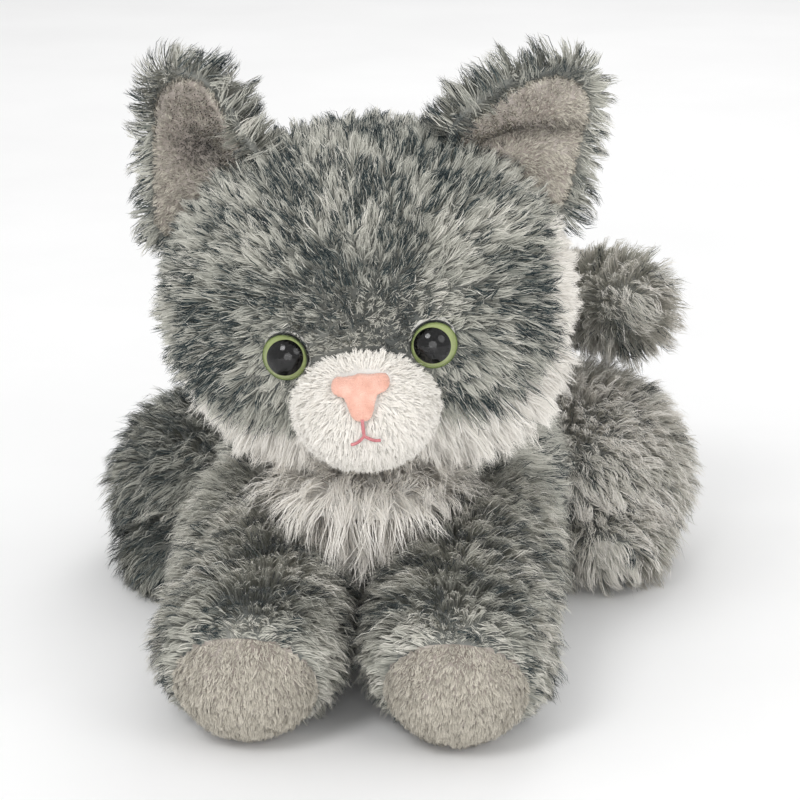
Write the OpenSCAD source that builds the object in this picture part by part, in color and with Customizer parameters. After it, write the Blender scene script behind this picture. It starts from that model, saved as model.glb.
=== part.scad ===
// A lying plush cat: fur panels over stuffing, with a soft neck, floppy legs, bendable ears and a tail.
// The nose points along -Y, +Z is up, and the origin is on the floor under the belly.

/* [Head] */
// Half width, half depth and half height of the head, without the standing pile
head_size = [51, 41, 42]; // [38:1:51]
// Height of the head's centre above the floor
head_z = 103; // [102:0.5:106]
// How far the head's centre lies in front of the origin
head_front = 30; // [28:0.5:32]
// Sideways tilt of the head in degrees
head_roll = 6; // [0:0.5:8]
// Half width, half depth and half height of the muzzle
muzzle_size = [18.4, 17.5, 16.4]; // [12:0.2:20]
// Diameter of the plastic eyes
eye_d = 12; // [10:0.5:13]
// Sideways distance of each eye from the middle of the face
eye_side = 19; // [18:0.5:21]

/* [Ears] */
// Height of an ear from its root to its tip
ear_height = 37; // [32:1:40]
// Width of an ear at its root
ear_width = 41; // [34:1:42]
// Outward lean of the upright ear in degrees
left_ear_lean = 37; // [33:1:41]
// Outward lean of the drooping ear in degrees
right_ear_lean = 46; // [42:1:48]
// How far the upright ear's tip leans back towards the crown
left_ear_skew = 9; // [0:1:11]

/* [Body] */
// Half width, half length and half height of the torso
torso_size = [44, 70, 38.5]; // [36:0.5:70]
// Thickness of the backing cloth and the root of its pile
cloth = 1.6; // [1.2:0.1:2]

/* [Legs and tail] */
// Radius of a foreleg at the shoulder
shoulder_r = 22.5; // [21:0.5:24]
// Radius of a foreleg at the paw
paw_r = 21; // [19:0.5:22]
// Distance from the shoulder's centre to the paw's centre
foreleg_length = 59; // [52:1:62]
// Half width, half length and half height of a haunch
haunch_size = [29, 33, 27.5]; // [24:0.5:33]
// Radius of the tail
tail_r = 11.5; // [9:0.5:12]

/* [Hidden] */
$fn = 36;
LEFT = -1;
RIGHT = 1;
FAR = 400;

fit_gap = 0.35;              // air between a cover and its stuffing
joint_gap = 0.5;             // air between two bodies that move

front_shift = -3;            // how far the head, chest and forelegs lie to the left of the hind part
neck = [front_shift, -20, 64];         // the point that the head turns and nods about
neck_r = 16;
head_at = [front_shift, -head_front, head_z];
crown_half_w = 15;           // half width of the gusset over the crown
chin_tilt = 33;              // slope of the seam between the grey face and the white chin
chin_drop = 8;               // how far under the head's centre that seam passes

muzzle_at = [0, -35.2, -19.5];
nose_z = -13.5;
nose_side = 0.8;             // the nose sits a little off the muzzle's middle
mouth_z = -20;
eye_drop = 5.6;
eye_dome = 4;                // height of the clear dome
eye_toe_out = 15;            // degrees that each eye looks outward
eye_sink = 1.2;              // depth of the eye's rim in the pile
shank_r = 2;
washer_r = 4.5;

torso_at = [0, 15, 36];
belly_seam_z = 14;
pouch_z = 13;
chest_at = [front_shift, -38, 44];
chest_size = [27, 23, 20];
chest_floor_z = 49.5;        // underside of the chest, over the forelegs
chest_back_y = -42;          // where the white bib meets the grey sides
room_fn = 20;                // sides of the round cutters that make room for the legs
room_gap = 1.4;              // how much larger those cutters are than the legs

shoulder = [26.5, -24, 30];
foreleg_slope = 9.5;
pad_tilt = 29;
pad_back = 3;                // how far behind the paw's centre the pad's seam meets the floor
pellet_r = 1.5;
pellet_step = 5.4;

left_hip = [-54, 46, 24];
right_hip = [54, 58, 26.5];
left_haunch_drop = 2.5;      // how much lower the left haunch lies than the right one
foot_at = [7, -18, -12.6];
foot_size = [17, 23, 14.4];

tail_root = [8, 80, 45];
tail_run = 58;               // how far the tail reaches to the side
tail_path = [for (t = [0 : 0.1 : 1]) tail_point(t)];

// Greatest movement of each joint that the clearances below leave room for, in degrees.
foreleg_swing = 30;
tail_swing = 20;

// ---------- shapes that repeat ----------

// Joins a soft piece into one mesh: nothing round on it is a bore, a pin or a seat.
module soft() {
    resize([0, 0, 0]) union() children();
}

// A closed egg shape with three half sizes.
module egg(size, sides = $fn) {
    scale(size) sphere(1, $fn = sides);
}

// Everything above the floor.
module above_floor(z = 0) {
    translate([-FAR, -FAR, z]) cube([2 * FAR, 2 * FAR, FAR]);
}

// Everything under a level plane.
module below(z) {
    translate([-FAR, -FAR, z - FAR]) cube([2 * FAR, 2 * FAR, FAR]);
}

// Everything in front of an upright plane.
module in_front_of(y) {
    translate([-FAR, y - FAR, -FAR]) cube([2 * FAR, FAR, 2 * FAR]);
}

// Everything on one side of the middle plane, from a distance outward.
module side_of(side, from = 0) {
    x = side > 0 ? from : -from - FAR;
    translate([x, -FAR, -FAR]) cube([FAR, 2 * FAR, 2 * FAR]);
}

function inset(size, by) = [size.x - by, size.y - by, size.z - by];

function shoulder_at(side) = [front_shift + side * shoulder.x, shoulder.y, shoulder.z];

function hip_at(side) = side == LEFT ? left_hip : right_hip;

function haunch(side) = side == LEFT ? haunch_size - [0, 0, left_haunch_drop] : haunch_size;

// ---------- head ----------

// Places its children in the head's own frame, whose origin is the head's centre.
module in_head() {
    translate(head_at) rotate([0, -head_roll, 0]) children();
}

// The space that the head sweeps as it turns and nods, which the torso stays out of.
module head_sweep() {
    translate(head_at + [0, -0.5, -1]) egg(head_size + [9, 9, 2.8]);
}

module neck_ball(gap = 0) {
    translate(neck) sphere(neck_r + gap);
}

module under_chin_seam() {
    translate([0, 0, -chin_drop]) rotate([chin_tilt, 0, 0]) below(0);
}

// The head's cloth, one wall thick, before it is cut into panels.
module head_skin() {
    difference() {
        in_head() egg(head_size);
        in_head() egg(inset(head_size, cloth));
        neck_ball(joint_gap);
        eye_holes();
    }
}

module crown_panel() {
    color("slategray") soft() difference() {
        intersection() {
            head_skin();
            in_head() translate([-crown_half_w, -FAR, -FAR]) cube([2 * crown_half_w, 2 * FAR, 2 * FAR]);
        }
        in_head() under_chin_seam();
    }
}

module face_panel(side) {
    soft() difference() {
        intersection() {
            head_skin();
            in_head() side_of(side, crown_half_w);
        }
        in_head() under_chin_seam();
    }
}

module left_face_panel() {
    color("slategray") face_panel(LEFT);
}

module right_face_panel() {
    color("slategray") face_panel(RIGHT);
}

module chin_panel() {
    color("white") soft() intersection() {
        head_skin();
        in_head() under_chin_seam();
    }
}

module head_stuffing() {
    color("ivory") difference() {
        in_head() egg(inset(head_size, cloth + fit_gap));
        neck_ball(joint_gap);
        eye_holes();
    }
}

// ---------- muzzle, nose and mouth ----------

module muzzle_egg(grow = 0) {
    translate(muzzle_at) egg(inset(muzzle_size, -grow));
}

module muzzle_panel() {
    color("white") soft() difference() {
        in_head() difference() {
            muzzle_egg();
            muzzle_egg(-cloth);
            egg(inset(head_size, -fit_gap));
        }
        eye_holes();
    }
}

module muzzle_stuffing() {
    color("ivory") in_head() difference() {
        muzzle_egg(-cloth - fit_gap);
        egg(inset(head_size, -fit_gap));
    }
}

// The part of a thin layer on the muzzle's front that lies behind a flat outline.
module on_muzzle(thickness) {
    intersection() {
        difference() {
            muzzle_egg(thickness);
            muzzle_egg(fit_gap);
        }
        translate([0, -35, 0]) rotate([90, 0, 0]) linear_extrude(40) children();
    }
}

module nose_patch() {
    color("pink") in_head() on_muzzle(1.7)
        translate([nose_side, nose_z]) {
            hull() for (side = [LEFT, RIGHT]) translate([side * 5.2, 3]) circle(2.2);
            hull() {
                translate([0, 1.4]) circle(4.2);
                translate([0, -2.6]) circle(3);
            }
        }
}

module stitch(from, to) {
    hull() {
        translate(from) circle(0.6);
        translate(to) circle(0.6);
    }
}

module mouth_stitches() {
    fork = [nose_side, mouth_z - 3.5];
    color("palevioletred") in_head() on_muzzle(0.9) {
        stitch([nose_side, mouth_z], fork);
        stitch(fork, fork + [-5.4, -2.6]);
        stitch(fork, fork + [6, -2]);
    }
}

// ---------- eyes ----------

function eye_depth() =
    head_size.y * sqrt(1 - pow(eye_side / head_size.x, 2) - pow(eye_drop / head_size.z, 2));

// Places its children at an eye: the origin is on the face, and +Z points out of the eye.
module at_eye(side) {
    in_head() translate([side * eye_side, -eye_depth(), -eye_drop])
        rotate([90, 0, side * eye_toe_out]) translate([0, 0, -eye_sink]) children();
}

module eye_holes() {
    for (side = [LEFT, RIGHT]) at_eye(side) {
        translate([0, 0, -14]) cylinder(h = 30, r = shank_r + fit_gap);
        translate([0, 0, -6]) cylinder(h = 1.9, r = washer_r + fit_gap);
        translate([0, 0, -1.1]) cylinder(h = 12, d = eye_d + 2 * fit_gap);
    }
}

// The shell of the clear dome, over the painted discs.
module eye_lens(side) {
    r = eye_d / 2;
    ball_r = (r * r + eye_dome * eye_dome) / (2 * eye_dome);
    rim_angle = asin((ball_r - eye_dome) / ball_r);
    arc = [for (i = [0 : 8]) rim_angle + (90 - rim_angle) * i / 8];
    at_eye(side) difference() {
        rotate_extrude() polygon(concat([[0, 1]],
            [for (a = arc) [ball_r * cos(a), ball_r * sin(a) + eye_dome + 1 - ball_r]]));
        translate([-1 * side, 0, 0]) cylinder(h = 1.9, r = eye_d * 0.39 + fit_gap);
    }
}

module eye_iris(side) {
    color("yellowgreen") at_eye(side) translate([0, 0, 0.2]) cylinder(h = 0.8, d = eye_d - 0.1);
}

module eye_pupil(side) {
    color("black") at_eye(side) translate([-1 * side, 0, 1]) cylinder(h = 0.8, r = eye_d * 0.39);
}

module eye_shank(side) {
    color("black") at_eye(side) {
        translate([0, 0, -1]) cylinder(h = 1.2, d = eye_d - 0.1);
        translate([0, 0, -13]) cylinder(h = 12.5, r = shank_r);
        for (rib = [0 : 4]) translate([0, 0, -12.5 + rib * 1.2]) cylinder(h = 0.5, r = shank_r + 0.08);
    }
}

module eye_washer(side) {
    color("whitesmoke") at_eye(side) translate([0, 0, -5.9]) difference() {
        cylinder(h = 1.6, r = washer_r);
        translate([0, 0, -1]) cylinder(h = 4, r = shank_r + 0.1);
    }
}

module left_eye_lens() { color("lightcyan") eye_lens(LEFT); }
module left_eye_iris() { eye_iris(LEFT); }
module left_eye_pupil() { eye_pupil(LEFT); }
module left_eye_shank() { eye_shank(LEFT); }
module left_eye_washer() { eye_washer(LEFT); }
module right_eye_lens() { color("lightcyan") eye_lens(RIGHT); }
module right_eye_iris() { eye_iris(RIGHT); }
module right_eye_pupil() { eye_pupil(RIGHT); }
module right_eye_shank() { eye_shank(RIGHT); }
module right_eye_washer() { eye_washer(RIGHT); }

// ---------- ears ----------

ear_root = [35.1, 4, 26.2];  // middle of an ear's root in the head's frame
ear_turn = 15;               // degrees that the ears' open sides face outward
ear_corner_r = 6.5;
ear_gap = 2;                 // air under the ear, so that it can fold both ways

// A rounded triangle standing on the ear's root, with its tip moved sideways by a skew.
module ear_outline(skew, shrink) {
    r = ear_corner_r;
    half = ear_width / 2 - r - shrink;
    hull() {
        for (side = [LEFT, RIGHT]) translate([side * half, r]) circle(r);
        translate([skew, ear_height - r - shrink]) circle(r);
    }
}

module at_ear(side, lean) {
    in_head() translate([side * ear_root.x, ear_root.y, ear_root.z])
        rotate([0, side * lean, 0]) rotate([0, 0, side * ear_turn]) children();
}

// One leaf of an ear between two depths, clear of the head's crown.
module ear_leaf(side, lean, skew, front, back, shrink) {
    difference() {
        at_ear(side, lean) translate([0, back, 0]) rotate([90, 0, 0])
            linear_extrude(back - front) ear_outline(skew, shrink);
        in_head() egg(inset(head_size, -ear_gap));
    }
}

module left_ear_back() {
    color("slategray") ear_leaf(LEFT, left_ear_lean, left_ear_skew, -1, 3, 0);
}

module left_ear_lining() {
    color("tan") ear_leaf(LEFT, left_ear_lean, left_ear_skew, -3, -1, 4);
}

module right_ear_back() {
    color("slategray") ear_leaf(RIGHT, right_ear_lean, 0, -1, 3, 0);
}

module right_ear_lining() {
    color("tan") ear_leaf(RIGHT, right_ear_lean, 0, -3, -1, 4);
}

// ---------- neck and torso ----------

module neck_stuffing() {
    color("ivory") neck_ball();
}

module torso_egg(by = 0) {
    translate(torso_at) egg(inset(torso_size, by));
}

// Turns its children about an upright line through a point.
module turned(pivot, angle) {
    translate(pivot) rotate([0, 0, angle]) translate(-pivot) children();
}
// Room for the moving head, legs and tail, cut out of the upper pieces of the torso.
module torso_clearances() {
    head_sweep();
    neck_ball(joint_gap);
    for (turn = [-tail_swing, 0, tail_swing]) turned(tail_root, turn) tail_base_room();
    for (side = [LEFT, RIGHT]) {
        for (turn = [0, foreleg_swing]) turned(shoulder_at(side), side * turn)
            foreleg_room(side);
        hind_room(side);
    }
}

// Room for the legs, with upright walls, cut out of the low pieces of the torso.
module belly_clearances() {
    r = shoulder_r + joint_gap;
    in_front_of(shoulder.y);
    translate([front_shift - shoulder.x, shoulder.y - 1, -1]) cube([2 * shoulder.x, r, FAR]);
    for (side = [LEFT, RIGHT]) {
        translate(shoulder_at(side) - [0, 0, FAR]) cylinder(h = 2 * FAR, r = r);
        translate(hip_at(side) - [0, 0, FAR]) cylinder(h = 2 * FAR, r = haunch_size.y + joint_gap);
    }
}

module foreleg_room(side) {
    at_foreleg(side) rotate_extrude($fn = room_fn) polygon(foreleg_outline(-room_gap));
}

// The haunch is widened to its own length here, so that it may turn on the spot.
module hind_room(side) {
    turning_haunch = [haunch_size.y, haunch_size.y, haunch(side).z];
    translate(hip_at(side)) union() {
        egg(inset(turning_haunch, -room_gap), room_fn);
        translate([side * foot_at.x, foot_at.y, foot_at.z]) egg(inset(foot_size, -room_gap), room_fn);
    }
}

module tail_base_room() {
    hull() {
        translate(tail_root) sphere(tail_r + room_gap, $fn = room_fn);
        translate(tail_path[3]) sphere(tail_r + room_gap, $fn = room_fn);
    }
}

// The torso's cloth, one wall thick, before it is cut into panels.
module torso_skin() {
    difference() {
        torso_egg();
        difference() {
            torso_egg(cloth);
            below(cloth);
        }
    }
}

// What stays free in front of the torso: the bib's place, and the room between the forelegs.
module front_clearances() {
    in_front_of(chest_back_y);
    translate([-FAR, shoulder.y - FAR, -1]) cube([2 * FAR, FAR, chest_floor_z + 1]);
    translate([front_shift - shoulder.x / 2, shoulder.y - 1, -1])
        cube([shoulder.x, shoulder_r - 2, chest_floor_z + 1]);
}

module side_panel(side) {
    soft() difference() {
        intersection() {
            torso_skin();
            side_of(side);
            above_floor(belly_seam_z);
        }
        torso_clearances();
        front_clearances();
    }
}

module left_side_panel() {
    color("slategray") side_panel(LEFT);
}

module right_side_panel() {
    color("slategray") side_panel(RIGHT);
}

module belly_panel() {
    color("silver") difference() {
        intersection() {
            torso_skin();
            translate([-FAR, -FAR, 0]) cube([2 * FAR, 2 * FAR, belly_seam_z]);
        }
        belly_clearances();
        stitch_rungs();
    }
}

module torso_stuffing() {
    color("ivory") soft() difference() {
        intersection() {
            torso_egg(cloth + fit_gap);
            above_floor(pouch_z + fit_gap);
        }
        torso_clearances();
        front_clearances();
    }
}

// The part of the chest that stands out in front of the torso, above the forelegs.
module chest_space(by) {
    difference() {
        intersection() {
            translate(chest_at) egg(inset(chest_size, by));
            above_floor(chest_floor_z);
            in_front_of(chest_back_y);
        }
        head_sweep();
    }
}

module chest_bib() {
    color("white") soft() difference() {
        chest_space(0);
        translate(chest_at) egg(inset(chest_size, cloth));
    }
}

module chest_stuffing() {
    color("ivory") soft() chest_space(cloth + fit_gap);
}

// ---------- the bag of pellets in the belly ----------

pouch_cloth = 0.6;
pouch_inset = cloth + 0.4;
pouch_half = [18, 30];
pouch_middle = 32;

module pouch_space(by) {
    intersection() {
        torso_egg(pouch_inset + by);
        translate([-FAR, -FAR, pouch_inset + by]) cube([2 * FAR, 2 * FAR, pouch_z - pouch_inset - by]);
        translate([0, pouch_middle, 0]) scale([pouch_half.x - by, pouch_half.y - by, 1]) cylinder(h = FAR, r = 1);
    }
}

module bean_pouch_bottom() {
    color("linen") soft() difference() {
        pouch_space(0);
        pouch_space(pouch_cloth);
        above_floor(pouch_z - pouch_cloth);
    }
}

module bean_pouch_top() {
    color("linen") soft() intersection() {
        pouch_space(0);
        above_floor(pouch_z - pouch_cloth);
    }
}

module bean_pellets() {
    room = inset(torso_size, pouch_inset + pouch_cloth + pellet_r + 0.8);
    color("white") for (row = [-4 : 4], column = [-1 : 1], layer = [0, 1]) {
        at = [column * pellet_step, pouch_middle + row * pellet_step, 5.4 + layer * 4];
        out = at - torso_at;
        if (norm([out.x / room.x, out.y / room.y, out.z / room.z]) < 1)
            translate(at) sphere(pellet_r, $fn = 16);
    }
}

// ---------- small sewn pieces ----------

module stitch_rungs() {
    for (rung = [0 : 6]) translate([-2, torso_at.y + 8 + rung * 2.5, 0]) cube([4, 0.6, 0.5]);
}

// The ladder stitches that close the belly's seam after stuffing.
module closing_stitches() {
    color("dimgray") stitch_rungs();
}

// The blank fold of satin in the rump's seam.
module care_label() {
    color("whitesmoke") difference() {
        translate([-16, 72, 27]) cube([9, 21, 0.8]);
        torso_egg(-fit_gap);
    }
}

// ---------- forelegs ----------

// The half outline of a foreleg along its own axis, from the shoulder's round end to the paw's.
function foreleg_outline(by) = concat(
    [for (a = [-90 : 15 : 0]) [(shoulder_r - by) * cos(a), (shoulder_r - by) * sin(a)]],
    [[20.9 - by, shoulder_r * 0.8], [20.4 - by, foreleg_length * 0.58], [paw_r - 0.3 - by, foreleg_length * 0.85]],
    [for (a = [0 : 15 : 90]) [(paw_r - by) * cos(a), foreleg_length + (paw_r - by) * sin(a)]]
);

// Places its children on a foreleg's axis: the origin is the shoulder's centre, and +Z runs to the paw.
module at_foreleg(side) {
    translate(shoulder_at(side)) rotate([90 + foreleg_slope, 0, 0]) children();
}

module foreleg_solid(side, by = 0) {
    intersection() {
        at_foreleg(side) rotate_extrude() polygon(foreleg_outline(by));
        above_floor(by);
    }
}

module foreleg_skin(side) {
    difference() {
        foreleg_solid(side);
        foreleg_solid(side, cloth);
    }
}

// The space in front of the seam round the paw's short-pile pad.
module in_front_of_pad_seam() {
    translate([0, shoulder.y - foreleg_length + pad_back, 0]) rotate([pad_tilt, 0, 0]) in_front_of(0);
}

module foreleg_cover(side) {
    color("slategray") difference() {
        foreleg_skin(side);
        in_front_of_pad_seam();
    }
}

module paw_pad(side) {
    color("tan") intersection() {
        foreleg_skin(side);
        in_front_of_pad_seam();
    }
}

paw_fill_y = shoulder.y - foreleg_length + 1;

module foreleg_stuffing(side) {
    color("ivory") difference() {
        foreleg_solid(side, cloth + fit_gap);
        in_front_of(paw_fill_y);
    }
}

module paw_pellets(side) {
    centre = shoulder_at(side) - foreleg_length * [0, cos(foreleg_slope), sin(foreleg_slope)];
    color("white") for (row = [-3 : 3], column = [-3 : 3], layer = [0 : 2]) {
        at = [row * pellet_step, -2.6 - layer * pellet_step, column * pellet_step];
        if (norm(at) < paw_r - cloth - pellet_r - 0.6 && centre.z + at.z > cloth + pellet_r + 0.3)
            translate(centre + at) sphere(pellet_r, $fn = 16);
    }
}

module left_foreleg_cover() { foreleg_cover(LEFT); }
module left_paw_pad() { paw_pad(LEFT); }
module left_foreleg_stuffing() { foreleg_stuffing(LEFT); }
module left_paw_pellets() { paw_pellets(LEFT); }
module right_foreleg_cover() { foreleg_cover(RIGHT); }
module right_paw_pad() { paw_pad(RIGHT); }
module right_foreleg_stuffing() { foreleg_stuffing(RIGHT); }
module right_paw_pellets() { paw_pellets(RIGHT); }

// ---------- hind legs ----------

module hind_solid(side, by = 0) {
    intersection() {
        translate(hip_at(side)) union() {
            egg(inset(haunch(side), by));
            translate([side * foot_at.x, foot_at.y, foot_at.z]) egg(inset(foot_size, by));
        }
        above_floor(by);
    }
}

module hind_skin(side) {
    difference() {
        hind_solid(side);
        hind_solid(side, cloth);
    }
}

module hind_outer_panel(side) {
    color("slategray") soft() intersection() {
        hind_skin(side);
        side_of(side, right_hip.x);
    }
}

module hind_inner_panel(side) {
    color("gray") soft() difference() {
        hind_skin(side);
        side_of(side, right_hip.x);
    }
}

module left_hind_outer_panel() { hind_outer_panel(LEFT); }
module left_hind_inner_panel() { hind_inner_panel(LEFT); }
module left_hind_stuffing() { color("ivory") hind_solid(LEFT, cloth + fit_gap); }
module right_hind_outer_panel() { hind_outer_panel(RIGHT); }
module right_hind_inner_panel() { hind_inner_panel(RIGHT); }
module right_hind_stuffing() { color("ivory") hind_solid(RIGHT, cloth + fit_gap); }

// ---------- tail ----------

// The tail's middle line curves up and outward from the rump.
function tail_point(t) = [
    tail_root.x + tail_run * t,
    tail_root.y + 18 * sin(170 * t) - 16 * t * t,
    tail_root.z + 30 * sin(90 * t)
];

module tail_solid(by) {
    for (i = [0 : len(tail_path) - 2]) hull() {
        translate(tail_path[i]) sphere(tail_r - by, $fn = 16);
        translate(tail_path[i + 1]) sphere(tail_r - by, $fn = 16);
    }
}

module tail_cover() {
    color("slategray") soft() difference() {
        tail_solid(0);
        tail_solid(cloth);
        translate(tail_root) rotate([90, 0, -30]) cylinder(h = tail_r + 2, r = tail_r - 3, $fn = 20);
    }
}

module tail_stuffing() {
    color("ivory") soft() tail_solid(cloth + fit_gap);
}

crown_panel();
left_face_panel();
right_face_panel();
chin_panel();
head_stuffing();
muzzle_panel();
muzzle_stuffing();
nose_patch();
mouth_stitches();
left_eye_lens();
left_eye_iris();
left_eye_pupil();
left_eye_shank();
left_eye_washer();
right_eye_lens();
right_eye_iris();
right_eye_pupil();
right_eye_shank();
right_eye_washer();
left_ear_back();
left_ear_lining();
right_ear_back();
right_ear_lining();
neck_stuffing();
left_side_panel();
right_side_panel();
belly_panel();
chest_bib();
chest_stuffing();
torso_stuffing();
bean_pouch_top();
bean_pouch_bottom();
bean_pellets();
closing_stitches();
care_label();
left_foreleg_cover();
left_paw_pad();
left_foreleg_stuffing();
left_paw_pellets();
right_foreleg_cover();
right_paw_pad();
right_foreleg_stuffing();
right_paw_pellets();
left_hind_outer_panel();
left_hind_inner_panel();
left_hind_stuffing();
right_hind_outer_panel();
right_hind_inner_panel();
right_hind_stuffing();
tail_cover();
tail_stuffing();
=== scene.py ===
import math
import bmesh
import bpy
import numpy as np
from mathutils import Matrix, Vector, kdtree


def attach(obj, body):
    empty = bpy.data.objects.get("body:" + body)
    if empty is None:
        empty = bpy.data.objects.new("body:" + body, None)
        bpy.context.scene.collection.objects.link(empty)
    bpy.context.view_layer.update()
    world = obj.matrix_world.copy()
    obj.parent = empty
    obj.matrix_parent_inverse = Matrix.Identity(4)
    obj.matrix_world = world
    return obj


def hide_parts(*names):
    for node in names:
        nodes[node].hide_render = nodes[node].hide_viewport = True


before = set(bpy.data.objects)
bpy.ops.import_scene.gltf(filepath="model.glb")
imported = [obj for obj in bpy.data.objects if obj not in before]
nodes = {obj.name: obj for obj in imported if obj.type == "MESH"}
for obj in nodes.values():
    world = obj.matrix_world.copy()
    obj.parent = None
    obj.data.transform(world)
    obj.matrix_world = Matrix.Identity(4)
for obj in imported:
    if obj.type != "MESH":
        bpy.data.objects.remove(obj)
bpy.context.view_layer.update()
MM = 0.001
LEFT, RIGHT = -1, 1
SIDES = ((LEFT, "left"), (RIGHT, "right"))


# ---------- places that part.scad sets, in millimetres ----------

HEAD_AT = np.array([-3, -30, 103.0])
HEAD_SIZE = np.array([51, 41, 42.0])
HEAD_ROLL = math.radians(6)
HEAD_TURN = np.array(Matrix.Rotation(-HEAD_ROLL, 3, "Y"))
MUZZLE_AT = np.array([0, -35.2, -19.5])
MUZZLE_SIZE = np.array([18.4, 17.5, 16.4])
EYE_SIDE, EYE_DROP, EYE_TOE_OUT, EYE_D = 19, 5.6, math.radians(15), 12
EYE_DEPTH = HEAD_SIZE[1] * math.sqrt(1 - (EYE_SIDE / HEAD_SIZE[0]) ** 2 - (EYE_DROP / HEAD_SIZE[2]) ** 2)
EAR_ROOT = np.array([35.1, 4, 26.2])
EAR_HALF_WIDTH, EAR_HEIGHT = 20, 36
EAR_TURN, EAR_LEAN = math.radians(15), {LEFT: math.radians(37), RIGHT: math.radians(46)}
SHOULDER = {LEFT: np.array([-29.5, -24, 30.0]), RIGHT: np.array([23.5, -24, 30.0])}
HIP = {LEFT: np.array([-54, 46, 24.0]), RIGHT: np.array([54, 58, 26.5])}
TAIL_ROOT, TAIL_RUN = np.array([8, 80, 45.0]), 58
NECK = np.array([-3, -20, 64.0])
CHIN_DROP, CHIN_TILT = 8, math.radians(33)
PAD_FRONT, PAD_TILT = -80, math.radians(29)
NOSE_SIDE = 0.8


def unit(v):
    return v / np.maximum(np.linalg.norm(v, axis=-1, keepdims=True), 1e-9)


def to_head(p):
    """Points in the head's own frame."""
    return (p - HEAD_AT) @ HEAD_TURN


def from_head(p):
    return np.asarray(p, float) @ HEAD_TURN.T + HEAD_AT


def eye_frame(side):
    """The eye's centre on the face and its outward direction, and its sideways and upward ones."""
    toe = side * EYE_TOE_OUT
    axes = np.array([[math.cos(toe), math.sin(toe), 0], [0, 0, 1], [math.sin(toe), -math.cos(toe), 0]])
    centre = from_head([side * EYE_SIDE, -EYE_DEPTH, -EYE_DROP])
    return centre, axes @ HEAD_TURN.T


def ear_axes(side):
    """The ear's own axes as rows, along its width, its thickness and its height, and its root."""
    lean, turn = side * EAR_LEAN[side], side * EAR_TURN
    m = Matrix.Rotation(lean, 3, "Y") @ Matrix.Rotation(turn, 3, "Z")
    return np.array(m).T @ HEAD_TURN.T, from_head(EAR_ROOT * [side, 1, 1])


def tail_point(t):
    t = np.asarray(t, float)
    return np.stack([
        TAIL_ROOT[0] + TAIL_RUN * t,
        TAIL_ROOT[1] + 18 * np.sin(np.radians(170 * t)) - 16 * t * t,
        TAIL_ROOT[2] + 30 * np.sin(np.radians(90 * t))], axis=-1)


# ---------- materials ----------

def srgb(c):
    c = np.asarray(c, float) / 255
    return tuple(np.where(c <= 0.04045, c / 12.92, ((c + 0.055) / 1.055) ** 2.4)) + (1.0,)


def plain(name, colour, **settings):
    """A Principled material with one value on each socket."""
    m = bpy.data.materials.new(name)
    m.use_nodes = True
    b = m.node_tree.nodes["Principled BSDF"]
    b.inputs["Base Color"].default_value = srgb(colour)
    m.diffuse_color = srgb(colour)
    for key, value in settings.items():
        b.inputs[key.replace("_", " ")].default_value = value
    return m


def mottled(name, colours, scale, bump, bump_scale, roughness=0.9, detail=6, **settings):
    """A Principled material whose colour and bump come from noise: cloth, pile, plastic and thread."""
    m = plain(name, colours[len(colours) // 2], Roughness=roughness, **settings)
    nt = m.node_tree
    b = nt.nodes["Principled BSDF"]
    at = nt.nodes.new("ShaderNodeTexCoord")
    noise = nt.nodes.new("ShaderNodeTexNoise")
    noise.inputs["Scale"].default_value = scale
    noise.inputs["Detail"].default_value = detail
    ramp = nt.nodes.new("ShaderNodeValToRGB")
    ends = ramp.color_ramp.elements
    ends[0].position, ends[1].position = 0.32, 0.68
    ends[0].color, ends[1].color = srgb(colours[0]), srgb(colours[-1])
    for i, c in enumerate(colours[1:-1]):
        ends.new(0.32 + 0.36 * (i + 1) / (len(colours) - 1)).color = srgb(c)
    fine = nt.nodes.new("ShaderNodeTexNoise")
    fine.inputs["Scale"].default_value = bump_scale
    fine.inputs["Detail"].default_value = 4
    bumps = nt.nodes.new("ShaderNodeBump")
    bumps.inputs["Strength"].default_value = bump
    bumps.inputs["Distance"].default_value = 0.0006
    for n in (noise, fine):
        nt.links.new(at.outputs["Object"], n.inputs["Vector"])
    nt.links.new(noise.outputs["Fac"], ramp.inputs["Fac"])
    nt.links.new(ramp.outputs["Color"], b.inputs["Base Color"])
    nt.links.new(fine.outputs["Fac"], bumps.inputs["Height"])
    nt.links.new(bumps.outputs["Normal"], b.inputs["Normal"])
    return m


def woven(name, colours, pitch, **settings):
    """A Principled material with crossed threads of that pitch in metres."""
    m = mottled(name, colours, 90, 0.3, 900, **settings)
    nt = m.node_tree
    at = next(n for n in nt.nodes if n.type == "TEX_COORD")
    bumps = next(n for n in nt.nodes if n.type == "BUMP")
    threads = []
    for direction in "XY":
        w = nt.nodes.new("ShaderNodeTexWave")
        w.bands_direction = direction
        w.inputs["Scale"].default_value = 0.314 / pitch
        w.inputs["Distortion"].default_value = 0.6
        nt.links.new(at.outputs["Object"], w.inputs["Vector"])
        threads.append(w)
    mix = nt.nodes.new("ShaderNodeMath")
    mix.operation = "MAXIMUM"
    for i, w in enumerate(threads):
        nt.links.new(w.outputs["Fac"], mix.inputs[i])
    nt.links.new(mix.outputs[0], bumps.inputs["Height"])
    return m


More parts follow.
